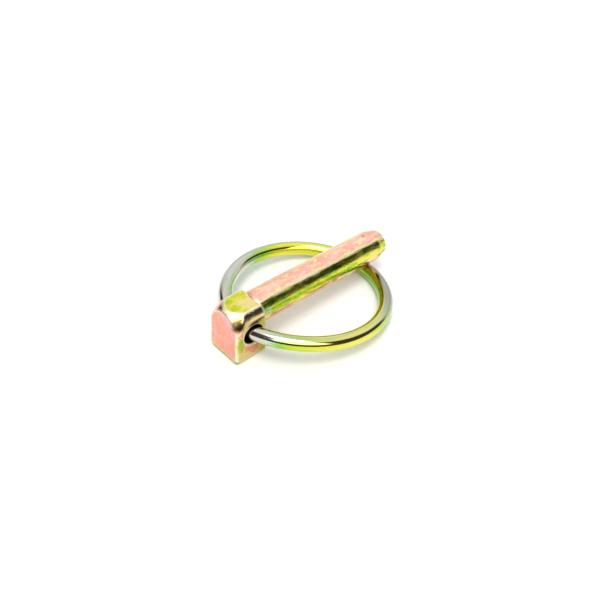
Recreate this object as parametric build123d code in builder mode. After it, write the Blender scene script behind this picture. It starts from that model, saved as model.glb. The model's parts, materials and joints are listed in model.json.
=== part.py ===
"""Lynch pin lying on a level floor.

Two pieces: one forged pin, which is a square-sided head with a round shank, and one open ring of
spring wire whose two ends meet inside the cross hole of the head. The head stands on the lower
edge of its shoulder, the far side of the ring lies on the floor, and the shank rests on that side
of the ring. X runs along the pin from head to point, Y along the cross hole, and Z is up. The
origin is the centre of the shank where it leaves the head. All sizes are in millimetres.
"""
import os
from math import asin, atan2, cos, degrees, radians, sin, sqrt, tan

from build123d import *

# Shank
shank_diameter = 8.0
shank_length = 40.9
nose_length = 3.1
nose_slope = 17.0
tip_rounding = 0.7
relief_depth = 0.06
root_length = 0.6
root_drop = 0.3

# Head
head_length = 8.8
head_width = 10.0
head_above_axis = 3.45
crown_drop = 0.2
head_below_axis = 9.2
edge_rounding = 0.6
end_chamfer = 0.35
end_crown_chamfer = 0.45
end_chamfer_slope = 27.0
end_lean = 2.0
shoulder_chamfer = 0.4
shoulder_chamfer_slope = 45.0
crown_corner_rounding = 1.0
flat_edge_rounding = 0.35

# Cross hole
hole_diameter = 5.2
hole_behind_shoulder = 3.8
hole_below_axis = 2.5
hole_edge_break = 0.2

# Ring
wire_diameter = 3.6
ring_radius = 19.2
ring_flank_radius = 23.2
ring_flank_start = 112.0
ring_end_gap = 1.0
ring_end_break = 0.3

# Clearances
ring_drop_in_hole = 0.02
rest_gap = 0.05
relief_margin = 0.5

# Sizes that follow from the ones above
shank_radius = shank_diameter / 2
wire_radius = wire_diameter / 2
hole_radius = hole_diameter / 2
half_width = head_width / 2
nose_start = shank_length - nose_length
relief_radius = shank_radius - relief_depth
nose_end_radius = relief_radius - nose_length * tan(radians(nose_slope))

# Ring centreline seen square on: a main arc, then one flatter flank on each side that runs in to
# the cross hole. Distances are taken from the centre of the main arc, u along the ring's long
# line and v across it.
flank_turn = radians(ring_flank_start)
flank_step = ring_flank_radius - ring_radius
flank_centre_u = -flank_step * cos(flank_turn)
flank_centre_v = -flank_step * sin(flank_turn)


def flank_u(v):
    """Place of the flank along the long line, at a distance v to the side of it."""
    return flank_centre_u - sqrt(ring_flank_radius ** 2 - (v - flank_centre_v) ** 2)


# The ring turns about a line through the cross hole that lies halfway between the wire's place in
# the middle of the hole and its place at the hole's mouths, so it clears the hole all the way.
end_v = ring_end_gap / 2
end_u = flank_u(end_v)
pivot_u = (end_u + flank_u(half_width)) / 2
reach = ring_radius - pivot_u
flank_sweep = degrees(atan2(end_v - flank_centre_v, end_u - flank_centre_u)) - ring_flank_start

# Pose at rest. The slope of the pin, the height of its axis at the shoulder and the slope of the
# ring depend on each other, so they are found together by repeated passes of the same lines.
pivot_x = -hole_behind_shoulder
pivot_z = -hole_below_axis - ring_drop_in_hole
contact_radius = shank_radius
pin_slope = 0.0
for _ in range(40):
    axis_height = (
        (head_below_axis - edge_rounding) * cos(pin_slope)
        - edge_rounding * sin(pin_slope)
        + edge_rounding
    )
    pivot_height = axis_height - pivot_x * sin(pin_slope) + pivot_z * cos(pin_slope)
    ring_slope = asin((pivot_height - wire_radius) / reach)
    contact_x = pivot_x * cos(pin_slope) + pivot_z * sin(pin_slope) + reach * cos(ring_slope)
    contact_drop = (contact_radius + wire_radius + rest_gap) / cos(pin_slope)
    pin_slope = atan2(axis_height - wire_radius - contact_drop, contact_x)
    contact_along = (
        contact_x * cos(pin_slope) - (wire_radius - axis_height) * sin(pin_slope)
    )
    grip_length = contact_along - wire_radius - relief_margin
    relief_at_ring = relief_depth * (contact_along - grip_length) / (nose_start - grip_length)
    contact_radius = shank_radius - relief_at_ring

# The pin's own frame: X along its axis towards the point, Z up the head
pin_x = (cos(pin_slope), 0, -sin(pin_slope))
pin_z = (sin(pin_slope), 0, cos(pin_slope))


def pin_point(x, z):
    """Point on the pin's middle plane, given in the pin's own frame."""
    return (x * pin_x[0] + z * pin_z[0], 0, x * pin_x[2] + z * pin_z[2])


def cross_plane(x):
    """Plane square to the pin at x, its own X along the part's Y and its own Y up the head."""
    return Plane(origin=pin_point(x, 0), x_dir=(0, 1, 0), z_dir=pin_x)


# Middle plane of the pin, its own X along the pin and its own Y up the head
middle_plane = Plane(origin=(0, 0, 0), x_dir=pin_x, z_dir=(0, -1, 0))

# The shoulder's plane, looking back at the head
shoulder_plane = Plane(
    origin=(0, 0, 0), x_dir=(0, -1, 0), z_dir=(-pin_x[0], 0, -pin_x[2])
)

# The end face leans back a little from its lower edge to its crown
lean_cos = cos(radians(end_lean))
lean_sin = sin(radians(end_lean))
end_plane = Plane(
    origin=pin_point(head_below_axis * tan(radians(end_lean)) - head_length, 0),
    x_dir=(0, 1, 0),
    z_dir=(
        lean_cos * pin_x[0] - lean_sin * pin_z[0],
        0,
        lean_cos * pin_x[2] - lean_sin * pin_z[2],
    ),
)

# Ring plane: its own X from the cross hole to the far side
ring_x = (cos(ring_slope), 0, -sin(ring_slope))
ring_z = (sin(ring_slope), 0, cos(ring_slope))
pivot = pin_point(pivot_x, pivot_z)
ring_centre = (pivot[0] - pivot_u * ring_x[0], 0, pivot[2] - pivot_u * ring_x[2])
ring_plane = Plane(origin=ring_centre, x_dir=ring_x, z_dir=ring_z)

# End face of the head: straight sides below, half round above
face_half_width = half_width - end_chamfer
face_top = head_above_axis - end_crown_chamfer
face_bottom = end_chamfer - head_below_axis
face_centre_z = face_top - face_half_width

# Pin: head and shank in one piece
with BuildPart() as pin_body:
    # Straight sides under a half round crown that a flat cuts off
    with BuildSketch(cross_plane(-head_length)):
        with Locations((0, -crown_drop)):
            Circle(half_width)
        with Locations((0, -(crown_drop + head_below_axis) / 2)):
            Rectangle(head_width, head_below_axis - crown_drop)
        fillet(vertices().group_by(Axis.Y)[0], edge_rounding)
        with Locations((0, (head_above_axis - head_below_axis) / 2)):
            Rectangle(
                head_width, head_below_axis + head_above_axis, mode=Mode.INTERSECT
            )
    extrude(amount=head_length)
    # End of the head: everything outside a widening copy of the end face is cut away
    with BuildSketch(end_plane):
        with Locations((0, face_centre_z)):
            Circle(face_half_width)
        with Locations((0, (face_centre_z + face_bottom) / 2)):
            Rectangle(2 * face_half_width, face_centre_z - face_bottom)
        fillet(vertices().group_by(Axis.Y)[0], edge_rounding)
    extrude(amount=2 * head_length, taper=-end_chamfer_slope, mode=Mode.INTERSECT)
    # Corner between the end chamfer and the round crown on each side
    crown_corners = edges().filter_by(GeomType.BSPLINE).filter_by(
        lambda corner: corner.center().Z > 0
    )
    fillet(crown_corners, crown_corner_rounding)
    # Edge of the crown's flat
    crown_flat = faces().sort_by(Axis((0, 0, 0), pin_z))[-1]
    fillet(crown_flat.edges(), flat_edge_rounding)
    # Shoulder: cut back the same way from a smaller copy of the head's outline
    with BuildSketch(shoulder_plane):
        with Locations((0, -crown_drop)):
            Circle(half_width - shoulder_chamfer)
        with Locations((0, (shoulder_chamfer - crown_drop - head_below_axis) / 2)):
            Rectangle(
                head_width - 2 * shoulder_chamfer,
                head_below_axis - crown_drop - shoulder_chamfer,
            )
        fillet(vertices().group_by(Axis.Y)[0], edge_rounding)
        with Locations((0, (head_above_axis - head_below_axis) / 2)):
            Rectangle(
                head_width,
                head_below_axis + head_above_axis - 2 * shoulder_chamfer,
                mode=Mode.INTERSECT,
            )
    extrude(amount=2 * head_length, taper=-shoulder_chamfer_slope, mode=Mode.INTERSECT)
    # Cross hole
    with BuildSketch(middle_plane):
        with Locations((-hole_behind_shoulder, -hole_below_axis)):
            Circle(hole_radius)
    extrude(amount=head_width, both=True, mode=Mode.SUBTRACT)
    hole_rims = edges().filter_by(GeomType.CIRCLE).filter_by(
        lambda rim: abs(rim.radius - hole_radius) < 0.001
    )
    chamfer(hole_rims, hole_edge_break)
    # Shank with its relieved end, sloped nose and rounded tip
    with BuildSketch(middle_plane):
        with BuildLine():
            Polyline(
                (-root_length, 0),
                (-root_length, shank_radius - root_drop),
                (0, shank_radius),
                (grip_length, shank_radius),
                (nose_start, relief_radius),
                (shank_length, nose_end_radius),
                (shank_length, 0),
                close=True,
            )
        make_face()
    revolve(axis=Axis((0, 0, 0), pin_x))
    tip_face = faces().sort_by(Axis((0, 0, 0), pin_x))[-1]
    fillet(tip_face.edges(), tip_rounding)
pin_body.part.label = "pin_body"

# Ring of spring wire, open inside the cross hole
with BuildPart() as spring_ring:
    with BuildLine(ring_plane) as ring_line:
        CenterArc((0, 0), ring_radius, -ring_flank_start, 2 * ring_flank_start)
        CenterArc(
            (flank_centre_u, flank_centre_v), ring_flank_radius, ring_flank_start, flank_sweep
        )
        CenterArc(
            (flank_centre_u, -flank_centre_v), ring_flank_radius, -ring_flank_start, -flank_sweep
        )
    ring_wire = ring_line.wires()[0]
    with BuildSketch(Plane(origin=ring_wire @ 0, z_dir=ring_wire % 0)):
        Circle(wire_radius)
    sweep(path=ring_wire)
    wire_ends = faces().filter_by(GeomType.PLANE)
    chamfer(wire_ends.edges(), ring_end_break)
spring_ring.part.label = "spring_ring"

os.makedirs("parts", exist_ok=True)
export_step(pin_body.part, "parts/pin_body.step")
export_step(spring_ring.part, "parts/spring_ring.step")
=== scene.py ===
"""Lynch pin on a white table: finishes, the bent wire ring, the stage and the camera.

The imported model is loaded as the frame. The forged pin gets its plated finish, the ring is bent
again from its own sizes with finer steps, and both stay where the frame has them. Lengths are in
metres.
"""

import json
import math
from types import SimpleNamespace

import bpy
from bpy.props import FloatProperty, FloatVectorProperty, IntProperty, PointerProperty
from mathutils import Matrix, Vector


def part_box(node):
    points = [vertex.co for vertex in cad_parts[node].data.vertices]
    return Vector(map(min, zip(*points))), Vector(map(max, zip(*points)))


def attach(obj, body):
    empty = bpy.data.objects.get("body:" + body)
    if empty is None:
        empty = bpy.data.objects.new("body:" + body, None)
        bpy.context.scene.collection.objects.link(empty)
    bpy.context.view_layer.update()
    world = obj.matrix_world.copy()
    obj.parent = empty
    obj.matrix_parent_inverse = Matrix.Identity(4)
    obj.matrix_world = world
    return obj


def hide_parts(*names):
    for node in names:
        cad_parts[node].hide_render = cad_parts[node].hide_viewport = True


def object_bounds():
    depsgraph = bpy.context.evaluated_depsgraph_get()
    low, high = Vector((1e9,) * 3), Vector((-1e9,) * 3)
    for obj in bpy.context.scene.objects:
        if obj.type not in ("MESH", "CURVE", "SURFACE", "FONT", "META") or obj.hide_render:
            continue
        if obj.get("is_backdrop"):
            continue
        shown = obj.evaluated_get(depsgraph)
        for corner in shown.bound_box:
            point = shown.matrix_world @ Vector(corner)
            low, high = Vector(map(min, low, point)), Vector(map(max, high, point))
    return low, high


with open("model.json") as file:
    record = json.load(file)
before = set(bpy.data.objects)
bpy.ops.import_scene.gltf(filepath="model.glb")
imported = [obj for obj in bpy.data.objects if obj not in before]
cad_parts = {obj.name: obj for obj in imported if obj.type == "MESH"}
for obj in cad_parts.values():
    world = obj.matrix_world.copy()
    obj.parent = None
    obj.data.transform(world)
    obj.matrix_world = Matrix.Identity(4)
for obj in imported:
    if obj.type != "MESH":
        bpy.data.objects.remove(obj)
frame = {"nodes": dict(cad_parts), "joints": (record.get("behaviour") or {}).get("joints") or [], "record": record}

bl_info = {
    "name": "Lynch pin",
    "version": (1, 0, 0),
    "blender": (4, 5, 0),
    "location": "3D View > Sidebar > Lynch pin",
    "description": "A yellow plated lynch pin with its spring ring, on a white table",
    "category": "Add Mesh",
}

MM = 0.001
PIN_NODE = "pin_body"
RING_NODE = "spring_ring"
RING_JOINT = next(joint for joint in frame["joints"] if joint["name"] == "ring_swing")
SHANK_AXIS = frame["record"]["mounts"][0]["axis"]
PIN_SLOPE = math.atan2(-SHANK_AXIS[2], SHANK_AXIS[0])

# Head of the pin in millimetres, measured from the middle of its shoulder
HEAD_LENGTH = 8.8
HALF_WIDTH = 5.0
FLAT_UP = 3.45
HEAD_LOW = -9.2
HOLE_RADIUS = 2.6
HOLE_ALONG = -3.8
HOLE_UP = -2.5

# Colours of the passivated zinc as its film grows thicker
FILM_STOPS = (
    (0.00, (0.90, 0.34, 0.29)),
    (0.11, (0.92, 0.42, 0.24)),
    (0.23, (0.95, 0.70, 0.38)),
    (0.36, (0.90, 0.80, 0.34)),
    (0.48, (0.80, 0.74, 0.07)),
    (0.60, (0.52, 0.66, 0.04)),
    (0.72, (0.26, 0.56, 0.05)),
    (0.84, (0.55, 0.68, 0.48)),
    (0.93, (0.80, 0.56, 0.62)),
    (1.00, (0.90, 0.34, 0.29)),
)
SPECK_COLOUR = (0.96, 0.88, 0.62)
# Pale colour painted as highlights on the head's edges and the shank's top, and as glints on the shank's lines
HIGHLIGHT_COLOUR = (0.95, 0.92, 0.74)
# Dark brown painted as dark reflection at the head's crown corner and band, and as a stain on the point
STAIN_AND_SHADE_COLOUR = (0.09, 0.05, 0.01)
# Brown laid faintly over the head and more on its side face, where it is painted shade
BROWN_SHADE_COLOUR = (0.34, 0.14, 0.03)
STREAK_COLOUR = (0.20, 0.12, 0.01)
# Painted shade in the upper inside of the cross hole
HOLE_SHADE_COLOUR = (0.05, 0.04, 0.025)
SILVER_WARM = (0.60, 0.53, 0.55)
SILVER_GREEN = (0.45, 0.51, 0.38)
# Darker grey painted as shade on the crest of the ring's right flank
SILVER_SHADE_COLOUR = (0.26, 0.25, 0.23)

# Film round the shank: degrees from its top towards the front, and thickness
SHANK_FILM = (
    (-180, 0.10), (-95, 0.45), (-50, 0.42), (-32, 0.22), (-18, 0.02), (24, 0.00), (36, 0.30),
    (46, 0.46), (66, 0.46), (84, 0.46), (97, 0.30), (106, 0.08), (124, 0.02), (180, 0.10),
)
# Brown streaks along the shank, by the same angle: strength
SHANK_STREAKS = (
    (-180, 0.0), (36, 0.0), (46, 0.4), (58, 0.15), (84, 0.1), (92, 0.9), (104, 0.9),
    (114, 0.0), (180, 0.0),
)

# Film of the head and of the point, where no other tint covers it
TOP_FILM = 0.46
SIDE_FILM = 0.27
END_FILM = -0.02
FAR_BEVEL_FILM = 0.08
EDGE_FILM = 0.32
STRIP_FILM = 0.52
POINT_FILM = 0.20
# How much thicker it is on the front of the shank beside the head
FILM_BESIDE_HEAD = 0.15

# Cloudy patterns: times finer than the blotches, detail, roughness, and distortion
BROAD_CLOUD = (0.3, 2.0, 0.5)
PATCH_CLOUD = (1.0, 4.0, 0.62, 0.3)
FINE_CLOUD = (4.0, 3.0, 0.6)
SPECK_CLOUD = (1.7, 5.0, 0.72, 0.5)
# How far each one shifts the film
BROAD_SHIFT = 1.1
PATCH_SHIFT = 0.75
FINE_SHIFT = 0.35
# Value at which a pattern begins to count, and value at which it counts in full
PATCH_SPAN = (0.47, 0.62)
SPECK_SPAN = (0.56, 0.68)
DULL_SPAN = (0.35, 0.7)
TOP_CLOUD_SPAN = (0.42, 0.62)
LINES_SPAN = (0.42, 0.60)
SILVER_SPAN = (0.40, 0.60)

# How strong the blotches are, and how many pale specks lie over them
SHANK_BLOTCHES = 0.28
HEAD_BLOTCHES = 0.19
WIRE_BLOTCHES = 0.13
SHANK_SPECKS = 0.8
FRONT_SPECKS = 0.15
HEAD_SPECKS = 0.7
FLAT_SPECKS = 0.13
WIRE_SPECKS = 0.14

# Share of the pale painted highlights and glints, of the brown darkening and painted shade, and of the silvery
# colour, where their masks are full
EDGE_HIGHLIGHT = 0.8
GLINT_SHARE = 0.8
TOP_HIGHLIGHT_LEAST = 0.20
TOP_HIGHLIGHT_CLOUDS = 0.30
HEAD_DARKENING = 0.13
SIDE_SHADE = 0.24
SILVER_ALL_OVER = 0.03

# Roughness that is added where each mask is full
PIN_DULL = 0.10
WIRE_DULL = 0.08
HOLE_DULL = 0.3
HIGHLIGHT_DULL = 0.38
LINES_DULL = 0.10
CONE_DULL = 0.3

# Relief beside that of the shank's grain, which is 1
HEAD_RELIEF = 2.2
LINES_RELIEF = 1.2

# Tints of the head: place in millimetres from the shoulder, across and up; reach; thickness
HEAD_TINTS = (
    ((-6.8, 1.8, 3.4), 3.0, 0.54),
    ((-3.0, -1.4, 3.4), 2.6, 0.30),
    ((-7.6, -5.0, -1.0), 2.8, 0.14),
    ((-1.0, -5.0, -1.2), 2.4, 0.42),
    ((-7.0, -5.0, -4.0), 2.8, 0.64),
    ((-3.8, -5.0, -5.2), 3.8, 0.02),
    ((-5.6, -5.0, -8.8), 2.6, 0.32),
    ((-0.6, -5.0, -7.4), 2.2, 0.46),
)
# Dark spots, painted dark reflection at the head's crown corner and band and a brown stain on the point: place in
# millimetres from the shoulder, across and up; reach; strength
STAIN_AND_SHADE_SPOTS = (
    ((-7.9, -4.4, 1.7), 2.3, 0.92),
    ((-7.0, -4.3, 2.0), 1.6, 0.85),
    ((-4.8, -4.6, 2.2), 1.6, 0.45),
    ((35.2, 0.6, 3.9), 0.8, 0.4),
)

# Share of a tint's reach, and of a brown spot's, that is at full strength
TINT_CORE = 0.45
STAIN_AND_SHADE_CORE = 0.3
# Width of the band in which the rims of masks wander, in millimetres
RAGGED_BAND = 3

# Masks on the pin in millimetres: where each is nought, and where it is full
HEAD_ALONG = (0.15, -0.15)
CONE_ALONG = (-0.85, -0.75)
CONE_UP = (FLAT_UP + 0.01, FLAT_UP + 0.04)
BESIDE_HEAD_ALONG = (14, 1)
FAR_BEVEL_ACROSS = (0.5, 1.5)
STRIP_ACROSS = (HALF_WIDTH - 0.75, HALF_WIDTH - 0.45)
STRIP_LOW = (HEAD_LOW + 1.1, HEAD_LOW + 0.6)
STRIP_TOP = (1.6, 0.4)
UPRIGHT_ACROSS = (0.65 - HALF_WIDTH, 0.35 - HALF_WIDTH)
UPRIGHT_ALONG = (0.55 - HEAD_LENGTH, 0.3 - HEAD_LENGTH)
OUTLINE_OUTER = (FLAT_UP - 0.11, FLAT_UP - 0.03)
OUTLINE_INNER = (FLAT_UP - 0.001, FLAT_UP - 0.02)
HOLE_EDGE = (HOLE_RADIUS + 0.15, HOLE_RADIUS + 0.02)
HOLE_DARK_UP = (-4.9, -3.9)

# Masks by the way a face looks: the cosine of the angle between its normal and that way
FACES_UP = (0.80, 0.97)
FACES_END = (0.75, 0.97)
FACES_SIDE = (0.90, 0.98)
FACES_POINT = (0.60, 0.90)
BEVEL_FACES_END = (0.15, 0.35)
STRIP_FACES_END = (0.20, 0.40)
# Edges of the head, for their film tint and painted highlight, by the cosine of the angle between the rounded
# normal and the plain one
EDGE_ROUNDING = (0.999, 0.982)

# Masks by the angle round the shank, in degrees from its top towards the front
FRONT_BEGINS = (52, 66)
FRONT_ENDS = (96, 84)
TOP_ENDS = (46, 32)
GLINTS_BEGIN = (31, 37)
GLINTS_END = (47, 41)

# Film round the ring, on its outside and its inside: degrees from the far side, and thickness
WIRE_FILM_OUTSIDE = (
    (-180, 0.84), (-158, 0.80), (-140, 0.58), (-112, 0.46), (-84, 0.46), (-62, 0.66),
    (-46, 0.95), (0, 0.93), (60, 0.92), (110, 0.84), (150, 0.90), (180, 0.84),
)
WIRE_FILM_INSIDE = (
    (-180, 0.60), (-130, 0.52), (-90, 0.46), (-60, 0.50), (-38, 0.66), (-8, 0.64), (12, 0.48),
    (38, 0.48), (72, 0.49), (92, 0.68), (112, 0.84), (140, 0.78), (180, 0.60),
)
# How silvery the crest of the wire is, by the same angle
WIRE_BARE = (
    (-180, 0.40), (-150, 0.45), (-125, 0.35), (-85, 0.35), (-60, 0.75), (-20, 0.85),
    (10, 0.45), (40, 0.25), (72, 0.35), (110, 0.80), (150, 0.80), (180, 0.40),
)
# How far the silvery crest leans to the inside of the ring
WIRE_LEAN = (
    (-180, 0.1), (-70, 0.0), (-40, 0.3), (-10, 0.1), (70, 0.0), (100, 0.4), (150, 0.5),
    (180, 0.1),
)
# Where that crest is painted a darker grey, as shade on the ring's right flank
WIRE_PAINTED_SHADE = ((-180, 0.0), (-75, 0.0), (-48, 0.6), (-12, 0.6), (15, 0.0), (180, 0.0))

# Masks round the wire, by how far its surface looks out of the ring, or up
WIRE_OUTSIDE = (-0.35, 0.35)
WIRE_CREST_OUT = (-0.35, 0.1)
WIRE_CREST_UP = (0.2, 0.8)

# The ring's line is first drawn with this many steps an arc, and welded where the arcs meet
ARC_STEPS = 400
WELD_DISTANCE = 0.002 * MM
# Patterns are drawn out along the piece: the smaller its number, the longer they are
WIRE_STRETCH = 0.1
WIRE_PLACE_SCALE = (1, 1, 0.9)
PIN_PLACE_SCALE = (0.45, 1, 1)
LINES_PLACE_SCALE = (0.10, 1, 1)

# The room, in degrees: direction over the table, half the width, and softness of the rims
BOX_SIDES = (-125, 32, 4)
BACKDROP_SIDES = (34, 50, 8)
OVERHEAD_SOFTNESS = 4
# Height of the front box's lower rim over the level, and its softness
BOX_LOW = (28, 5)
# Pale line over the table's far rim and light from below it, by the sine of the height
SKYLINE = (math.sin(math.radians(7)), 0.04)
SKYLINE_LEVEL = 0.4
UNDERSIDE = (0.02, -0.02)
UNDERSIDE_LEVEL = 1.0
# Colour of the light that lifts the table to white
TABLE_GLOW = (1, 0.99, 1)


class PlatingLook(bpy.types.PropertyGroup):
    """Colours and gloss of the yellow passivated zinc plating."""

    pin_roughness: FloatProperty(
        name="Pin roughness", description="Gloss of the forged pin", default=0.17,
        min=0, max=1, subtype="FACTOR",
    )
    ring_roughness: FloatProperty(
        name="Ring roughness", description="Gloss of the spring wire", default=0.13,
        min=0, max=1, subtype="FACTOR",
    )
    edge_width: FloatProperty(
        name="Edge width", description="Width of the paler edges of the head",
        default=0.7 * MM, unit="LENGTH",
    )
    blotch_size: FloatProperty(
        name="Blotch size", description="Width of the coloured blotches in the plating",
        default=1.3 * MM, unit="LENGTH",
    )
    grain_size: FloatProperty(
        name="Grain size", description="Width of the fine grain of the forged surface",
        default=0.16 * MM, unit="LENGTH",
    )
    grain_depth: FloatProperty(
        name="Grain depth", description="Depth of the fine grain", default=0.006 * MM,
        unit="LENGTH",
    )


class RingSizes(bpy.types.PropertyGroup):
    """Sizes of the open ring of spring wire."""

    wire_radius: FloatProperty(
        name="Wire radius", description="Half the wire's thickness", default=1.8 * MM,
        unit="LENGTH",
    )
    ring_radius: FloatProperty(
        name="Ring radius", description="Radius of the main arc's centre line",
        default=19.2 * MM, unit="LENGTH",
    )
    flank_radius: FloatProperty(
        name="Flank radius", description="Radius of the flatter arc on each side of the head",
        default=23.2 * MM, unit="LENGTH",
    )
    flank_start: FloatProperty(
        name="Flank start", description="Angle from the far side at which the flanks begin",
        default=math.radians(112), unit="ROTATION",
    )
    half_gap: FloatProperty(
        name="Half gap", description="Half the gap between the wire's ends in the cross hole",
        default=0.5 * MM, unit="LENGTH",
    )
    mouth_side: FloatProperty(
        name="Mouth of the hole", description="Distance from the middle to the hole's mouth",
        default=5.0 * MM, unit="LENGTH",
    )
    end_break: FloatProperty(
        name="End break", description="Bevel on the wire's cut ends", default=0.3 * MM,
        unit="LENGTH",
    )
    steps_along: IntProperty(
        name="Steps along", description="Points along the whole wire", default=620, min=60,
    )
    steps_around: IntProperty(
        name="Steps around", description="Points round the wire", default=40, min=8,
    )


class StageLook(bpy.types.PropertyGroup):
    """Table, light and camera."""

    floor_colour: FloatVectorProperty(
        name="Table colour", description="Colour of the table", subtype="COLOR",
        size=3, min=0, max=1, default=(0.91, 0.93, 0.92),
    )
    floor_size: FloatProperty(
        name="Table size", description="Side of the table", default=3.0, unit="LENGTH",
    )
    floor_lift: FloatProperty(
        name="White of the table", description="Light that brings the table up to plain white",
        default=0.06, min=0, max=1,
    )
    lamp_power: FloatProperty(
        name="Lamp power", description="Power of the soft lamp that casts the shadow",
        default=1.0, unit="POWER",
    )
    lamp_size: FloatProperty(
        name="Lamp size", description="Width of the soft lamp", default=0.24, unit="LENGTH",
    )
    lamp_distance: FloatProperty(
        name="Lamp distance", description="Distance of the soft lamp", default=0.5,
        unit="LENGTH",
    )
    lamp_turn: FloatProperty(
        name="Lamp turn", description="Direction of the soft lamp over the table",
        default=math.radians(-131), unit="ROTATION",
    )
    lamp_height: FloatProperty(
        name="Lamp height", description="Angle of the soft lamp over the level",
        default=math.radians(75), unit="ROTATION",
    )
    top_turn: FloatProperty(
        name="Overhead turn", description="Direction in which the overhead light leans",
        default=math.radians(35), unit="ROTATION",
    )
    top_height: FloatProperty(
        name="Overhead height", description="Angle of the overhead light's middle",
        default=math.radians(64), unit="ROTATION",
    )
    top_reach: FloatProperty(
        name="Overhead reach", description="Half the width of the overhead light as an angle",
        default=math.radians(48), unit="ROTATION",
    )
    top_level: FloatProperty(
        name="Overhead level", description="Level of the soft light overhead", default=1.08, min=0,
    )
    box_level: FloatProperty(
        name="Front box level", description="Level of the soft box in front", default=2.4, min=0,
    )
    back_level: FloatProperty(
        name="Backdrop level", description="Level of the pale backdrop", default=0.9, min=0,
    )
    room_dark: FloatProperty(
        name="Room level", description="Level of the room seen past the soft lights",
        default=0.05, min=0, max=1,
    )
    view_turn: FloatProperty(
        name="View turn", description="Direction of sight over the table, from the pin's length",
        default=math.radians(48.515), unit="ROTATION",
    )
    view_drop: FloatProperty(
        name="View drop", description="Angle of sight below the level",
        default=math.radians(41.984), unit="ROTATION",
    )
    view_distance: FloatProperty(
        name="View distance", description="Distance from the camera to the aim point",
        default=180 * MM, unit="LENGTH",
    )
    aim: FloatVectorProperty(
        name="Aim point", description="Point that the camera looks at", size=3,
        default=(9.769 * MM, -5.14 * MM, 0), subtype="XYZ", unit="LENGTH",
    )
    frame_width: FloatProperty(
        name="Frame width", description="Width of the picture in its own steps", default=600,
    )
    focal_steps: FloatProperty(
        name="Focal length", description="Focal length in steps of the picture", default=781.19,
    )


def node(tree, kind, inputs=None, **settings):
    """Adds a node, sets its settings, and fills or links its inputs."""
    made = tree.nodes.new(kind)
    for name, value in settings.items():
        setattr(made, name, value)
    for key, value in (inputs or {}).items():
        if isinstance(value, bpy.types.NodeSocket):
            tree.links.new(value, made.inputs[key])
        else:
            made.inputs[key].default_value = value
    return made


def maths(tree, operation, *values, clamp=False):
    """One step of arithmetic; returns its output."""
    return node(
        tree, "ShaderNodeMath", dict(enumerate(values)), operation=operation, use_clamp=clamp,
    ).outputs[0]


def product(tree, first, *others):
    """Values multiplied together."""
    for other in others:
        first = maths(tree, "MULTIPLY", first, other)
    return first


def all_but(tree, share):
    """What a share leaves of the whole."""
    return maths(tree, "SUBTRACT", 1.0, share)


def smooth_step(tree, value, none, full):
    """0 at one value, 1 at the other, smooth between."""
    return node(
        tree, "ShaderNodeMapRange",
        {"Value": value, "From Min": none, "From Max": full}, interpolation_type="SMOOTHSTEP",
    ).outputs["Result"]


def smooth_step_mm(tree, value, span):
    """The same, for a pair of places in millimetres."""
    return smooth_step(tree, value, span[0] * MM, span[1] * MM)


def blend_numbers(tree, factor, first, second):
    """Mixes two numbers by a factor."""
    made = node(tree, "ShaderNodeMix", {0: factor, 2: first, 3: second}, data_type="FLOAT")
    return made.outputs[0]


def blend_colours(tree, factor, first, second):
    """Mixes two colours by a factor; each is an output or three numbers."""
    first, second = (
        colour if isinstance(colour, bpy.types.NodeSocket) else (*colour, 1)
        for colour in (first, second)
    )
    made = node(tree, "ShaderNodeMix", {0: factor, 6: first, 7: second}, data_type="RGBA")
    return made.outputs[2]


def vectors(tree, operation, *values, output="Vector"):
    """One step of arithmetic with vectors; returns its output."""
    return node(
        tree, "ShaderNodeVectorMath", dict(enumerate(values)), operation=operation
    ).outputs[output]


def dot(tree, first, second):
    """Dot product of two vectors."""
    return vectors(tree, "DOT_PRODUCT", first, second, output="Value")


def noise(tree, place, scale, detail, roughness=0.5, distortion=0.0):
    """Cloudy pattern, as a number."""
    return node(
        tree, "ShaderNodeTexNoise",
        {"Vector": place, "Scale": scale, "Detail": detail, "Roughness": roughness,
         "Distortion": distortion},
    ).outputs["Fac"]


def scaled(tree, place, scale):
    """A place with its three directions scaled, so that a pattern on it is drawn out."""
    return node(tree, "ShaderNodeMapping", {"Vector": place, "Scale": scale}).outputs["Vector"]


def near_spot(tree, place, spot, reach, core):
    """1 near a spot, 0 past its reach, both in millimetres; core is the share that is full."""
    away = vectors(tree, "DISTANCE", place, [size * MM for size in spot], output="Value")
    return smooth_step(tree, away, reach * MM, core * reach * MM)


def colour_stops(ramp, colours):
    """Fills a colour ramp with pairs of place and colour."""
    stops = ramp.color_ramp.elements
    while len(stops) < len(colours):
        stops.new(0.5)
    for stop, (position, colour) in zip(stops, colours):
        stop.position = position
        stop.color = (*colour, 1)


def by_angle(tree, angle, stops):
    """Number that follows an angle in degrees through given stops, straight between them."""
    share = node(
        tree, "ShaderNodeMapRange", {"Value": angle, "From Min": -180, "From Max": 180}
    ).outputs["Result"]
    ramp = node(tree, "ShaderNodeValToRGB", {"Fac": share})
    colour_stops(ramp, [((at + 180) / 360, (number,) * 3) for at, number in stops])
    return ramp.outputs["Color"]


def direction(turn, height):
    """Direction at an angle over the table from the pin's length, and at a height over it."""
    return (
        math.cos(height) * math.cos(turn), math.cos(height) * math.sin(turn), math.sin(height)
    )


def new_group(name, inputs, outputs):
    """An empty group of shader nodes with named sockets; returns it and its input node."""
    tree = bpy.data.node_groups.new(name, "ShaderNodeTree")
    for way, sockets in (("INPUT", inputs), ("OUTPUT", outputs)):
        for socket, kind in sockets.items():
            tree.interface.new_socket(socket, in_out=way, socket_type="NodeSocket" + kind)
    return tree, node(tree, "NodeGroupInput").outputs


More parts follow.
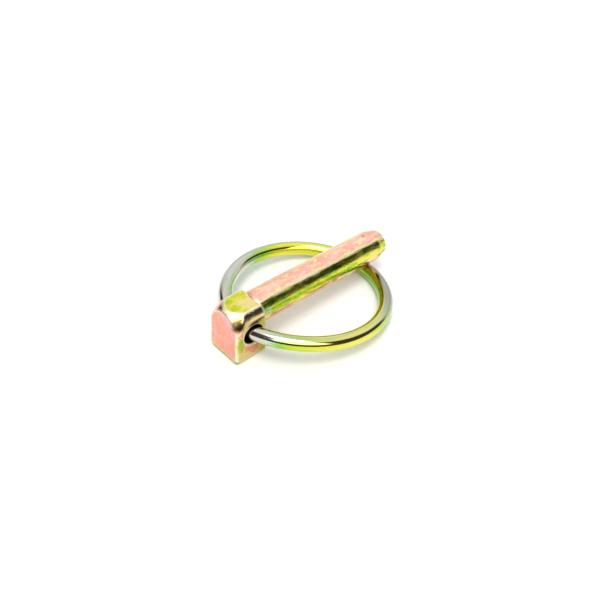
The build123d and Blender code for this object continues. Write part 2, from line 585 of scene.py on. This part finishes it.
def film_colours():
    """Group: colour of the passivated zinc at a given thickness of its film.

    The thickness runs from 0 to 1 and then repeats. Blotches shift it from place to place, and
    small pale specks lie over it.
    """
    name = "film_colours"
    if name in bpy.data.node_groups:
        return bpy.data.node_groups[name]
    tree, given = new_group(
        name,
        {"Place": "Vector", "Film": "Float", "Blotch size": "Float", "Blotch amount": "Float",
         "Speck amount": "Float"},
        {"Colour": "Color"},
    )
    density = maths(tree, "DIVIDE", 1.0, given["Blotch size"])

    def cloud(times, detail, roughness, distortion=0.0):
        """Cloudy pattern, so many times finer than the blotches."""
        return noise(
            tree, given["Place"], product(tree, density, times), detail, roughness, distortion
        )

    broad = product(tree, maths(tree, "SUBTRACT", cloud(*BROAD_CLOUD), 0.5), BROAD_SHIFT)
    patch = product(tree, smooth_step(tree, cloud(*PATCH_CLOUD), *PATCH_SPAN), PATCH_SHIFT)
    fine = product(tree, maths(tree, "SUBTRACT", cloud(*FINE_CLOUD), 0.5), FINE_SHIFT)
    shift = maths(tree, "ADD", maths(tree, "ADD", broad, patch), fine)
    shift = product(tree, shift, given["Blotch amount"])
    thickness = maths(tree, "ADD", given["Film"], shift)
    thickness = maths(tree, "FRACT", maths(tree, "ADD", thickness, 1.0))
    ramp = node(tree, "ShaderNodeValToRGB", {"Fac": thickness})
    colour_stops(ramp, FILM_STOPS)
    speck = smooth_step(tree, cloud(*SPECK_CLOUD), *SPECK_SPAN)
    speck = maths(tree, "MULTIPLY", speck, given["Speck amount"], clamp=True)
    colour = blend_colours(tree, speck, ramp.outputs["Color"], SPECK_COLOUR)
    node(tree, "NodeGroupOutput", {"Colour": colour})
    return tree


def fine_grain():
    """Group: small pits and ripples of a plated surface, as a height and a gloss mask."""
    name = "fine_grain"
    if name in bpy.data.node_groups:
        return bpy.data.node_groups[name]
    tree, given = new_group(
        name, {"Place": "Vector", "Grain size": "Float"}, {"Height": "Float", "Dull": "Float"}
    )
    density = maths(tree, "DIVIDE", 1.0, given["Grain size"])
    grain = noise(tree, given["Place"], density, 3.0, 0.55)
    ripple = noise(tree, given["Place"], product(tree, density, 0.16), 2.0)
    height = maths(tree, "MULTIPLY_ADD", ripple, 3.0, grain)
    dull = smooth_step(tree, ripple, *DULL_SPAN)
    node(tree, "NodeGroupOutput", {"Height": height, "Dull": dull})
    return tree


def emptied_tree(owner):
    """The node tree of a material or a world, with nothing in it."""
    owner.use_nodes = True
    owner.node_tree.nodes.clear()
    return owner.node_tree


def new_metal(name):
    """An empty metal material; returns it, its tree and its shader."""
    material = bpy.data.materials.new(name)
    tree = emptied_tree(material)
    shader = node(tree, "ShaderNodeBsdfPrincipled", {"Metallic": 1.0})
    node(tree, "ShaderNodeOutputMaterial", {"Surface": shader.outputs["BSDF"]})
    return material, tree, shader


def dress(tree, shader, colour, roughness, height, depth):
    """Feeds a metal's colour, roughness and fine relief to its shader."""
    bump = node(
        tree, "ShaderNodeBump", {"Height": height, "Strength": 1.0, "Distance": depth}
    )
    tree.links.new(colour, shader.inputs["Base Color"])
    tree.links.new(roughness, shader.inputs["Roughness"])
    tree.links.new(bump.outputs["Normal"], shader.inputs["Normal"])


def pin_place(tree, look):
    """Where a point lies on the pin, and the way it faces, as named outputs."""
    coordinates = node(tree, "ShaderNodeTexCoord").outputs
    spot = node(
        tree, "ShaderNodeMapping",
        {"Vector": coordinates["Object"], "Rotation": (0, -PIN_SLOPE, 0)},
    ).outputs["Vector"]
    parts = node(tree, "ShaderNodeSeparateXYZ", {"Vector": spot}).outputs
    along, across, up = parts["X"], parts["Y"], parts["Z"]
    # The small cone where the shank leaves the head counts as shank
    cone = product(
        tree, smooth_step_mm(tree, along, CONE_ALONG), smooth_step_mm(tree, up, CONE_UP)
    )
    on_head = product(tree, smooth_step_mm(tree, along, HEAD_ALONG), all_but(tree, cone))
    on_shank = all_but(tree, on_head)
    # The same place moved about a little, so that a mask on it gets a ragged rim
    shift = node(
        tree, "ShaderNodeTexNoise",
        {"Vector": spot, "Scale": 1 / look.blotch_size, "Detail": 3.0, "Roughness": 0.6},
    ).outputs["Color"]
    shift = vectors(tree, "SUBTRACT", shift, (0.5, 0.5, 0.5))
    ragged = vectors(tree, "MULTIPLY_ADD", shift, (RAGGED_BAND * MM,) * 3, spot)
    turn = maths(tree, "ARCTAN2", product(tree, across, -1), up)
    facing = coordinates["Normal"]
    to_end = dot(tree, facing, (-1, 0, 0))
    point = smooth_step(tree, dot(tree, facing, (1, 0, 0)), *FACES_POINT)
    return SimpleNamespace(
        spot=spot, ragged=ragged, drawn_out=scaled(tree, spot, PIN_PLACE_SCALE),
        along=along, across=across, up=up, turn=product(tree, turn, 180 / math.pi),
        cone=cone, on_head=on_head, on_shank=on_shank, point=point,
        on_round=maths(tree, "SUBTRACT", on_shank, point, clamp=True),
        to_top=dot(tree, facing, (0, 0, 1)), to_end=to_end,
        flat_end=smooth_step(tree, to_end, *FACES_END),
        on_side=smooth_step(tree, dot(tree, facing, (0, -1, 0)), *FACES_SIDE),
    )


def shank_film(tree, here, front):
    """Film round the shank, thicker on its front beside the head, and plain on its point."""
    film = by_angle(tree, here.turn, SHANK_FILM)
    beside = product(tree, smooth_step_mm(tree, here.along, BESIDE_HEAD_ALONG), front)
    film = maths(tree, "MULTIPLY_ADD", beside, FILM_BESIDE_HEAD, film)
    return blend_numbers(tree, here.point, film, POINT_FILM)


def head_film(tree, here):
    """Film of the head: yellow-green on top, mixed at the sides, pink at the end."""
    up = smooth_step(tree, here.to_top, *FACES_UP)
    film = blend_numbers(tree, up, SIDE_FILM, TOP_FILM)
    for place, reach, value in HEAD_TINTS:
        near = near_spot(tree, here.ragged, place, reach, TINT_CORE)
        film = blend_numbers(tree, near, film, value)
    far_bevel = product(
        tree, smooth_step_mm(tree, here.across, FAR_BEVEL_ACROSS),
        smooth_step(tree, here.to_end, *BEVEL_FACES_END),
    )
    film = blend_numbers(tree, far_bevel, film, FAR_BEVEL_FILM)
    return blend_numbers(tree, here.flat_end, film, END_FILM)


def end_strip(tree, here):
    """Greenish strip along the far and lower edges of the end face."""
    strip = maths(
        tree, "MAXIMUM", smooth_step_mm(tree, here.across, STRIP_ACROSS),
        smooth_step_mm(tree, here.up, STRIP_LOW),
    )
    return product(
        tree, strip, smooth_step(tree, here.to_end, *STRIP_FACES_END),
        smooth_step_mm(tree, here.up, STRIP_TOP),
    )


def head_edges(tree, look, here):
    """Edges of the head, found by where a rounded normal leaves the plain one."""
    rounded = node(tree, "ShaderNodeBevel", {"Radius": look.edge_width}, samples=6).outputs[0]
    plain_way = node(tree, "ShaderNodeNewGeometry").outputs["Normal"]
    edge = smooth_step(tree, dot(tree, rounded, plain_way), *EDGE_ROUNDING)
    return product(tree, edge, here.on_head)


def painted_highlights(tree, look, here, edge, strip):
    """Painted highlights: the head's rounded edges, the front upright edge, the flat's outline, the shank's top.
    """
    shifted = node(tree, "ShaderNodeSeparateXYZ", {"Vector": here.ragged}).outputs
    across = blend_numbers(tree, 0.5, here.across, shifted["Y"])
    along = blend_numbers(tree, 0.5, here.along, shifted["X"])
    # Painted highlight along the front upright edge of the head
    upright = product(
        tree, smooth_step_mm(tree, across, UPRIGHT_ACROSS),
        smooth_step_mm(tree, along, UPRIGHT_ALONG),
    )
    # Painted highlight along the flat's outline, with a ragged rim
    rough_up = noise(tree, here.spot, 2.2 / look.blotch_size, 3.0)
    rough_up = maths(tree, "MULTIPLY_ADD", rough_up, 0.5 * MM, here.up)
    outline = product(
        tree, smooth_step_mm(tree, rough_up, OUTLINE_OUTER),
        smooth_step_mm(tree, here.up, OUTLINE_INNER), here.on_head,
    )
    # Painted highlight on the rounded edges of the head, but not on the end strip
    pale = product(tree, edge, all_but(tree, strip))
    pale = maths(tree, "MAXIMUM", pale, maths(tree, "MAXIMUM", upright, outline))
    # Painted highlight over the shank's top, in cloudy patches
    cloud = noise(tree, here.drawn_out, 0.4 / look.blotch_size, 3.0)
    cloud = smooth_step(tree, cloud, *TOP_CLOUD_SPAN)
    cloud = maths(tree, "MULTIPLY_ADD", cloud, TOP_HIGHLIGHT_CLOUDS, TOP_HIGHLIGHT_LEAST)
    crest = product(tree, smooth_step(tree, here.turn, *TOP_ENDS), here.on_shank)
    return maths(tree, "MULTIPLY_ADD", crest, cloud, product(tree, pale, EDGE_HIGHLIGHT))


def shade_in_hole(tree, here):
    """Painted shade in the upper inside of the cross hole."""
    away = node(
        tree, "ShaderNodeCombineXYZ",
        {"X": maths(tree, "SUBTRACT", here.along, HOLE_ALONG * MM),
         "Z": maths(tree, "SUBTRACT", here.up, HOLE_UP * MM)},
    ).outputs["Vector"]
    away = vectors(tree, "LENGTH", away, output="Value")
    return product(
        tree, smooth_step_mm(tree, away, HOLE_EDGE), here.on_head,
        smooth_step_mm(tree, here.up, HOLE_DARK_UP),
    )


def plated_pin(look):
    """Yellow passivated zinc on forged steel: pink and green tints on a grainy surface."""
    material, tree, shader = new_metal("plated_pin")
    here = pin_place(tree, look)
    front = product(
        tree, smooth_step(tree, here.turn, *FRONT_BEGINS),
        smooth_step(tree, here.turn, *FRONT_ENDS),
    )
    edge = head_edges(tree, look, here)
    strip = end_strip(tree, here)
    film = blend_numbers(
        tree, here.on_head, shank_film(tree, here, front), head_film(tree, here)
    )
    film = blend_numbers(tree, edge, film, EDGE_FILM)
    film = blend_numbers(tree, strip, film, STRIP_FILM)
    smooth_sides = maths(tree, "MAXIMUM", here.flat_end, here.on_side)
    specks = blend_numbers(
        tree, here.on_head, blend_numbers(tree, front, SHANK_SPECKS, FRONT_SPECKS),
        blend_numbers(tree, smooth_sides, HEAD_SPECKS, FLAT_SPECKS),
    )
    blotches = blend_numbers(tree, here.on_head, SHANK_BLOTCHES, HEAD_BLOTCHES)
    tint = node(tree, "ShaderNodeGroup", {
        "Place": here.drawn_out, "Film": film, "Blotch size": look.blotch_size,
        "Blotch amount": blotches, "Speck amount": specks,
    }, node_tree=film_colours())
    pale = painted_highlights(tree, look, here, edge, strip)
    # Pale painted highlights laid over the film's colour
    colour = blend_colours(tree, pale, tint.outputs["Colour"], HIGHLIGHT_COLOUR)
    # Dark spots: painted dark reflection at the head's crown corner and band, and a brown stain on the point
    for place, reach, strength in STAIN_AND_SHADE_SPOTS:
        near = near_spot(tree, here.ragged, place, reach, STAIN_AND_SHADE_CORE)
        colour = blend_colours(tree, product(tree, near, strength), colour, STAIN_AND_SHADE_COLOUR)
    # Faint brown darkening over the head, strongest on the side face, where it is painted shade of the shadowed
    # table that face mirrors
    brown_shade = maths(tree, "MULTIPLY_ADD", here.on_side, SIDE_SHADE, HEAD_DARKENING)
    brown_shade = product(tree, brown_shade, maths(tree, "SUBTRACT", here.on_head, pale, clamp=True))
    colour = blend_colours(tree, brown_shade, colour, BROWN_SHADE_COLOUR)
    # Fine lengthwise lines on the shank: brown between them, and pale painted glints on them in a band below its
    # top
    lines = scaled(tree, here.spot, LINES_PLACE_SCALE)
    lines = noise(tree, lines, 0.42 / look.grain_size, 2.0, 0.55)
    lines = smooth_step(tree, lines, *LINES_SPAN)
    streaks = by_angle(tree, here.turn, SHANK_STREAKS)
    streaks = product(tree, streaks, here.on_round, all_but(tree, lines))
    colour = blend_colours(tree, streaks, colour, STREAK_COLOUR)
    glints = product(
        tree, smooth_step(tree, here.turn, *GLINTS_BEGIN),
        smooth_step(tree, here.turn, *GLINTS_END), here.on_round, lines, GLINT_SHARE,
    )
    colour = blend_colours(tree, glints, colour, HIGHLIGHT_COLOUR)
    # Painted shade in the cross hole
    inside = shade_in_hole(tree, here)
    colour = blend_colours(tree, inside, colour, HOLE_SHADE_COLOUR)
    grain = node(
        tree, "ShaderNodeGroup", {"Place": here.drawn_out, "Grain size": look.grain_size},
        node_tree=fine_grain(),
    ).outputs
    coarse = product(tree, grain["Height"], blend_numbers(tree, here.on_head, 1.0, HEAD_RELIEF))
    height = maths(
        tree, "MULTIPLY_ADD", product(tree, lines, LINES_RELIEF), here.on_shank, coarse
    )
    rough = maths(
        tree, "MULTIPLY_ADD", grain["Dull"], PIN_DULL, look.pin_roughness - PIN_DULL / 2
    )
    for mask, amount in (
        (inside, HOLE_DULL), (pale, HIGHLIGHT_DULL),
        (product(tree, lines, here.on_shank), LINES_DULL), (here.cone, CONE_DULL),
    ):
        rough = maths(tree, "MULTIPLY_ADD", mask, amount, rough)
    dress(tree, shader, colour, rough, height, look.grain_depth)
    return material


def plated_wire(look):
    """The same plating on smooth drawn wire: silvery on top, with tints that run along it."""
    material, tree, shader = new_metal("plated_wire")
    wire = node(tree, "ShaderNodeAttribute", attribute_name="wire_place").outputs["Vector"]
    bend = node(tree, "ShaderNodeAttribute", attribute_name="bend").outputs["Vector"]
    parts = node(tree, "ShaderNodeSeparateXYZ", {"Vector": bend}).outputs
    turn, out, up = product(tree, parts["X"], 180 / math.pi), parts["Y"], parts["Z"]
    film = blend_numbers(
        tree, smooth_step(tree, out, *WIRE_OUTSIDE), by_angle(tree, turn, WIRE_FILM_INSIDE),
        by_angle(tree, turn, WIRE_FILM_OUTSIDE),
    )
    drawn_out = scaled(tree, wire, WIRE_PLACE_SCALE)
    tint = node(tree, "ShaderNodeGroup", {
        "Place": drawn_out, "Film": film, "Blotch size": 1.1 * look.blotch_size,
        "Blotch amount": WIRE_BLOTCHES, "Speck amount": WIRE_SPECKS,
    }, node_tree=film_colours())
    cloud = noise(tree, drawn_out, 1.5 / look.blotch_size, 4.0, 0.65)
    greenish = smooth_step(tree, cloud, *SILVER_SPAN)
    silver = blend_colours(tree, greenish, SILVER_WARM, SILVER_GREEN)
    leaning = maths(tree, "ADD", out, by_angle(tree, turn, WIRE_LEAN))
    crest = product(
        tree, smooth_step(tree, up, *WIRE_CREST_UP), smooth_step(tree, leaning, *WIRE_CREST_OUT)
    )
    bare = by_angle(tree, turn, WIRE_BARE)
    bare = maths(tree, "MULTIPLY_ADD", crest, bare, SILVER_ALL_OVER)
    colour = blend_colours(tree, bare, tint.outputs["Colour"], silver)
    # Painted shade: darker grey on the crest of the ring's right flank
    shade = product(tree, crest, by_angle(tree, turn, WIRE_PAINTED_SHADE))
    colour = blend_colours(tree, shade, colour, SILVER_SHADE_COLOUR)
    grain = node(
        tree, "ShaderNodeGroup", {"Place": wire, "Grain size": 1.4 * look.grain_size},
        node_tree=fine_grain(),
    ).outputs
    rough = maths(
        tree, "MULTIPLY_ADD", grain["Dull"], WIRE_DULL, look.ring_roughness - WIRE_DULL / 2
    )
    dress(tree, shader, colour, rough, grain["Height"], 0.5 * look.grain_depth)
    return material


def bent_wire_tree(material):
    """Geometry nodes that join three arcs to one line and sweep the wire along it."""
    tree = bpy.data.node_groups.new("bent_wire", "GeometryNodeTree")
    face = tree.interface
    face.new_socket("Geometry", in_out="OUTPUT", socket_type="NodeSocketGeometry")
    for name in ("Wire Radius", "Ring Radius", "Flank Radius", "Flank Start", "Flank Sweep",
                 "End Break"):
        face.new_socket(name, in_out="INPUT", socket_type="NodeSocketFloat")
    for name in ("Steps Along", "Steps Around"):
        face.new_socket(name, in_out="INPUT", socket_type="NodeSocketInt")
    given = node(tree, "NodeGroupInput").outputs
    start = given["Flank Start"]

    def arc(radius, begin, sweep):
        """An arc about the middle of the ring."""
        return node(
            tree, "GeometryNodeCurveArc",
            {"Resolution": ARC_STEPS, "Radius": radius, "Start Angle": begin, "Sweep Angle": sweep},
            mode="RADIUS",
        ).outputs["Curve"]

    main = arc(given["Ring Radius"], product(tree, start, -1), product(tree, start, 2))
    step = maths(tree, "SUBTRACT", given["Ring Radius"], given["Flank Radius"])
    step_u = product(tree, step, maths(tree, "COSINE", start))
    step_v = product(tree, step, maths(tree, "SINE", start))
    joined = node(tree, "GeometryNodeJoinGeometry")
    tree.links.new(main, joined.inputs["Geometry"])
    for hand in (1, -1):
        flank = arc(given["Flank Radius"], product(tree, start, hand),
                    product(tree, given["Flank Sweep"], hand))
        middle = node(
            tree, "ShaderNodeCombineXYZ", {"X": step_u, "Y": product(tree, step_v, hand)}
        ).outputs["Vector"]
        moved = node(
            tree, "GeometryNodeTransform", {"Geometry": flank, "Translation": middle}
        ).outputs["Geometry"]
        tree.links.new(moved, joined.inputs["Geometry"])
    lines = node(tree, "GeometryNodeCurveToMesh", {"Curve": joined.outputs[0]}).outputs["Mesh"]
    welded = node(
        tree, "GeometryNodeMergeByDistance", {"Geometry": lines, "Distance": WELD_DISTANCE}
    ).outputs["Geometry"]
    line = node(tree, "GeometryNodeMeshToCurve", {"Mesh": welded}).outputs["Curve"]
    line = node(
        tree, "GeometryNodeResampleCurve", {"Curve": line, "Count": given["Steps Along"]}
    ).outputs["Curve"]
    run = node(tree, "GeometryNodeSplineParameter").outputs["Length"]
    whole = node(tree, "GeometryNodeSplineLength").outputs["Length"]
    near_end = maths(tree, "MINIMUM", run, maths(tree, "SUBTRACT", whole, run))
    bevel = maths(tree, "SUBTRACT", given["End Break"], near_end)
    bevel = maths(tree, "MAXIMUM", bevel, 0.0)
    thick = maths(tree, "SUBTRACT", given["Wire Radius"], bevel)
    kept_run = node(tree, "GeometryNodeCaptureAttribute", {"Geometry": line})
    kept_run.capture_items.new("FLOAT", "Run")
    tree.links.new(run, kept_run.inputs["Run"])
    section = node(
        tree, "GeometryNodeCurvePrimitiveCircle",
        {"Resolution": given["Steps Around"], "Radius": 1.0}, mode="RADIUS",
    ).outputs["Curve"]
    kept_turn = node(tree, "GeometryNodeCaptureAttribute", {"Geometry": section})
    kept_turn.capture_items.new("VECTOR", "Turn")
    tree.links.new(node(tree, "GeometryNodeInputPosition").outputs[0], kept_turn.inputs["Turn"])
    sized = node(
        tree, "GeometryNodeSetCurveRadius",
        {"Curve": kept_run.outputs["Geometry"], "Radius": thick},
    ).outputs["Curve"]
    swept = node(
        tree, "GeometryNodeCurveToMesh",
        {"Curve": sized, "Profile Curve": kept_turn.outputs["Geometry"], "Fill Caps": True},
    )
    if "Scale" in swept.inputs:
        tree.links.new(thick, swept.inputs["Scale"])
    smooth = node(
        tree, "GeometryNodeSetShadeSmooth", {"Geometry": swept.outputs["Mesh"]}
    ).outputs["Geometry"]
    turn = kept_turn.outputs["Turn"]
    straight = node(
        tree, "ShaderNodeVectorMath",
        {0: turn, "Scale": given["Wire Radius"]}, operation="SCALE",
    ).outputs["Vector"]
    lengthwise = node(
        tree, "ShaderNodeCombineXYZ",
        {"Z": product(tree, kept_run.outputs["Run"], WIRE_STRETCH)},
    ).outputs["Vector"]
    straight = vectors(tree, "ADD", straight, lengthwise)
    stored = node(
        tree, "GeometryNodeStoreNamedAttribute",
        {"Geometry": smooth, "Name": "wire_place", "Value": straight},
        data_type="FLOAT_VECTOR", domain="POINT",
    ).outputs["Geometry"]
    # Where round the ring and where round the wire, for the finish
    spot = node(tree, "GeometryNodeInputPosition").outputs[0]
    parts = node(tree, "ShaderNodeSeparateXYZ", {"Vector": spot}).outputs
    outward = node(
        tree, "ShaderNodeCombineXYZ", {"X": parts["X"], "Y": parts["Y"]}
    ).outputs["Vector"]
    outward = vectors(tree, "NORMALIZE", outward)
    normal = node(tree, "GeometryNodeInputNormal").outputs[0]
    bend = node(
        tree, "ShaderNodeCombineXYZ",
        {"X": maths(tree, "ARCTAN2", parts["Y"], parts["X"]),
         "Y": dot(tree, outward, normal), "Z": dot(tree, normal, (0, 0, 1))},
    ).outputs["Vector"]
    stored = node(
        tree, "GeometryNodeStoreNamedAttribute",
        {"Geometry": stored, "Name": "bend", "Value": bend},
        data_type="FLOAT_VECTOR", domain="POINT",
    ).outputs["Geometry"]
    whole_piece = node(
        tree, "GeometryNodeRealizeInstances", {"Geometry": stored}
    ).outputs["Geometry"]
    painted = node(
        tree, "GeometryNodeSetMaterial", {"Geometry": whole_piece, "Material": material}
    ).outputs["Geometry"]
    node(tree, "NodeGroupOutput", {"Geometry": painted})
    return tree


def flank_line(sizes, side):
    """Where the flank's centre line is along the ring at a distance to the side, and its sweep."""
    step = sizes.flank_radius - sizes.ring_radius
    middle_u = -step * math.cos(sizes.flank_start)
    middle_v = -step * math.sin(sizes.flank_start)
    across = side - middle_v
    drop = math.sqrt(sizes.flank_radius ** 2 - across ** 2)
    sweep = math.atan2(across, -drop) - sizes.flank_start
    return middle_u - drop, sweep


def put_in_scene(context, name, data):
    """A new object in the scene that holds a mesh, a lamp or a camera."""
    made = bpy.data.objects.new(name, data)
    context.scene.collection.objects.link(made)
    return made


class LYNCHPIN_OT_forge_pin(bpy.types.Operator):
    """Gives the forged pin its plated finish"""

    bl_idname = "lynch_pin.forge_pin"
    bl_label = "Plate the forged pin"

    def execute(self, context):
        look = context.scene.plating_look
        pin = frame["nodes"][PIN_NODE]
        finish = plated_pin(look)
        for slot in pin.material_slots:
            slot.material = finish
        return {"FINISHED"}


class LYNCHPIN_OT_bend_ring(bpy.types.Operator):
    """Bends the ring of spring wire from its own sizes"""

    bl_idname = "lynch_pin.bend_ring"
    bl_label = "Bend the wire ring"

    def execute(self, context):
        sizes = context.scene.ring_sizes
        finish = plated_wire(context.scene.plating_look)
        holder = put_in_scene(context, "wire_line", bpy.data.meshes.new("wire_line"))
        tree = bent_wire_tree(finish)
        end_u, sweep = flank_line(sizes, sizes.half_gap)
        mouth_u, _ = flank_line(sizes, sizes.mouth_side)
        values = {
            "Wire Radius": sizes.wire_radius, "Ring Radius": sizes.ring_radius,
            "Flank Radius": sizes.flank_radius, "Flank Start": sizes.flank_start,
            "Flank Sweep": sweep, "End Break": sizes.end_break,
            "Steps Along": sizes.steps_along, "Steps Around": sizes.steps_around,
        }
        modifier = holder.modifiers.new("bend", "NODES")
        modifier.node_group = tree
        for item in tree.interface.items_tree:
            if item.in_out == "INPUT":
                modifier[item.identifier] = values[item.name]
        evaluated = holder.evaluated_get(context.evaluated_depsgraph_get())
        mesh = bpy.data.meshes.new_from_object(evaluated)
        holder.modifiers.remove(modifier)
        bpy.data.objects.remove(holder)
        # The ring's own plane slopes from the pivot down to the table
        low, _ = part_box(RING_NODE)
        pivot = Vector(RING_JOINT["pos_m"])
        pivot_u = (end_u + mouth_u) / 2
        slope = math.asin((pivot.z - low[2] - sizes.wire_radius) / (sizes.ring_radius - pivot_u))
        cos_s, sin_s = math.cos(slope), math.sin(slope)
        for vertex in mesh.vertices:
            u = vertex.co.x - pivot_u
            w = vertex.co.z
            vertex.co = (
                pivot.x + u * cos_s + w * sin_s,
                pivot.y + vertex.co.y,
                pivot.z - u * sin_s + w * cos_s,
            )
        mesh.name = "wire_ring"
        ring = put_in_scene(context, "wire_ring", mesh)
        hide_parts(RING_NODE)
        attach(ring, "ring")
        return {"FINISHED"}


class LYNCHPIN_OT_set_stage(bpy.types.Operator):
    """Sets the white table, the soft light and the camera"""

    bl_idname = "lynch_pin.set_stage"
    bl_label = "Set the stage"

    def execute(self, context):
        look = context.scene.stage_look
        self.lay_table(context, look)
        self.light_room(context, look)
        self.aim_camera(context, look)
        context.scene.view_settings.view_transform = "Standard"
        return {"FINISHED"}

    def lay_table(self, context, look):
        """White table whose shadow stays; it is lifted to white only where it is seen."""
        half = look.floor_size / 2
        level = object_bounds()[0][2]
        mesh = bpy.data.meshes.new("table")
        corners = [(-half, -half, level), (half, -half, level), (half, half, level),
                   (-half, half, level)]
        mesh.from_pydata(corners, [], [(0, 1, 2, 3)])
        table = put_in_scene(context, "table", mesh)
        material = bpy.data.materials.new("table_white")
        tree = emptied_tree(material)
        path = node(tree, "ShaderNodeLightPath").outputs
        seen = maths(tree, "MAXIMUM", path["Is Camera Ray"], path["Is Glossy Ray"])
        seen = maths(tree, "MAXIMUM", seen, path["Is Transmission Ray"])
        lift = product(tree, seen, look.floor_lift)
        diffuse = node(
            tree, "ShaderNodeBsdfDiffuse", {"Color": (*look.floor_colour, 1)}
        ).outputs["BSDF"]
        glow = node(
            tree, "ShaderNodeEmission", {"Color": (*TABLE_GLOW, 1), "Strength": lift}
        ).outputs["Emission"]
        both = node(tree, "ShaderNodeAddShader", {0: diffuse, 1: glow}).outputs[0]
        node(tree, "ShaderNodeOutputMaterial", {"Surface": both})
        mesh.materials.append(material)
        table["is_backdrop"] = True

    def light_room(self, context, look):
        """Soft light overhead, a backdrop behind, a soft box in front, and a dark room between."""
        context.scene.world = bpy.data.worlds.new("soft_room")
        tree = emptied_tree(context.scene.world)
        ray = node(tree, "ShaderNodeTexCoord").outputs["Generated"]
        height = dot(tree, ray, (0, 0, 1))
        level = all_but(tree, maths(tree, "POWER", height, 2))
        level = maths(tree, "SQRT", maths(tree, "MAXIMUM", level, 1e-6))

        def toward(turn, half_width, softness):
            """1 within an angle to each side of a direction over the table, 0 past it."""
            way = direction(math.radians(turn), 0)
            near = maths(tree, "DIVIDE", dot(tree, ray, way), level)
            return smooth_step(
                tree, near, math.cos(math.radians(half_width + softness)),
                math.cos(math.radians(half_width - softness)),
            )

        def above(angle, softness):
            """1 above an angle over the level, 0 below it."""
            return smooth_step(
                tree, height, math.sin(math.radians(angle - softness)),
                math.sin(math.radians(angle + softness)),
            )

        soft = math.radians(OVERHEAD_SOFTNESS)
        cap = smooth_step(
            tree, dot(tree, ray, direction(look.top_turn, look.top_height)),
            math.cos(look.top_reach + soft), math.cos(look.top_reach - soft),
        )
        light = maths(
            tree, "MULTIPLY_ADD", cap, look.top_level - look.room_dark, look.room_dark
        )
        for where, amount in (
            (product(tree, toward(*BOX_SIDES), above(*BOX_LOW)), look.box_level),
            (toward(*BACKDROP_SIDES), look.back_level),
            (smooth_step(tree, height, *SKYLINE), SKYLINE_LEVEL),
            (smooth_step(tree, height, *UNDERSIDE), UNDERSIDE_LEVEL),
        ):
            light = maths(tree, "MAXIMUM", light, product(tree, where, amount))
        path = node(tree, "ShaderNodeLightPath").outputs
        light = maths(tree, "MAXIMUM", light, path["Is Camera Ray"])
        sky = node(
            tree, "ShaderNodeBackground", {"Color": (1, 1, 1, 1), "Strength": light}
        ).outputs["Background"]
        node(tree, "ShaderNodeOutputWorld", {"Surface": sky})
        lamp = bpy.data.lights.new("soft_lamp", "AREA")
        lamp.shape = "DISK"
        lamp.size = look.lamp_size
        lamp.energy = look.lamp_power
        holder = put_in_scene(context, "soft_lamp", lamp)
        way = Vector(direction(look.lamp_turn, look.lamp_height))
        holder.location = way * look.lamp_distance
        holder.rotation_euler = (-way).to_track_quat("-Z", "Y").to_euler()

    def aim_camera(self, context, look):
        """Camera at the photograph's viewing angle."""
        sight = Vector(direction(look.view_turn, -look.view_drop))
        camera = bpy.data.cameras.new("camera")
        camera.sensor_width = 36
        camera.lens = look.focal_steps / look.frame_width * camera.sensor_width
        camera.clip_start = 0.005
        camera.clip_end = 10
        holder = put_in_scene(context, "camera", camera)
        holder.location = Vector(look.aim) - sight * look.view_distance
        holder.rotation_euler = sight.to_track_quat("-Z", "Y").to_euler()
        context.scene.camera = holder


class LYNCHPIN_PT_sidebar(bpy.types.Panel):
    """Panel that lists the lynch pin's pieces and their sizes"""

    bl_idname = "LYNCHPIN_PT_sidebar"
    bl_label = "Lynch pin"
    bl_space_type = "VIEW_3D"
    bl_region_type = "UI"
    bl_category = "Lynch pin"

    def draw(self, context):
        layout = self.layout
        scene = context.scene
        for settings, operator in (
            (scene.plating_look, LYNCHPIN_OT_forge_pin),
            (scene.ring_sizes, LYNCHPIN_OT_bend_ring),
            (scene.stage_look, LYNCHPIN_OT_set_stage),
        ):
            box = layout.box()
            for name in settings.__annotations__:
                box.prop(settings, name)
            box.operator(operator.bl_idname)


CLASSES = (
    PlatingLook,
    RingSizes,
    StageLook,
    LYNCHPIN_OT_forge_pin,
    LYNCHPIN_OT_bend_ring,
    LYNCHPIN_OT_set_stage,
    LYNCHPIN_PT_sidebar,
)


def register():
    """Registers the classes and hangs their settings on the scene."""
    for item in CLASSES:
        bpy.utils.register_class(item)
    bpy.types.Scene.plating_look = PointerProperty(type=PlatingLook)
    bpy.types.Scene.ring_sizes = PointerProperty(type=RingSizes)
    bpy.types.Scene.stage_look = PointerProperty(type=StageLook)


def unregister():
    """Takes the settings and the classes away again."""
    del bpy.types.Scene.plating_look
    del bpy.types.Scene.ring_sizes
    del bpy.types.Scene.stage_look
    for item in reversed(CLASSES):
        bpy.utils.unregister_class(item)


def main():
    """Builds the whole scene, one operator after another."""
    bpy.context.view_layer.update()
    register()
    bpy.ops.lynch_pin.forge_pin()
    bpy.ops.lynch_pin.bend_ring()
    bpy.ops.lynch_pin.set_stage()
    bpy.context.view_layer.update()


if __name__ == "__main__":
    main()
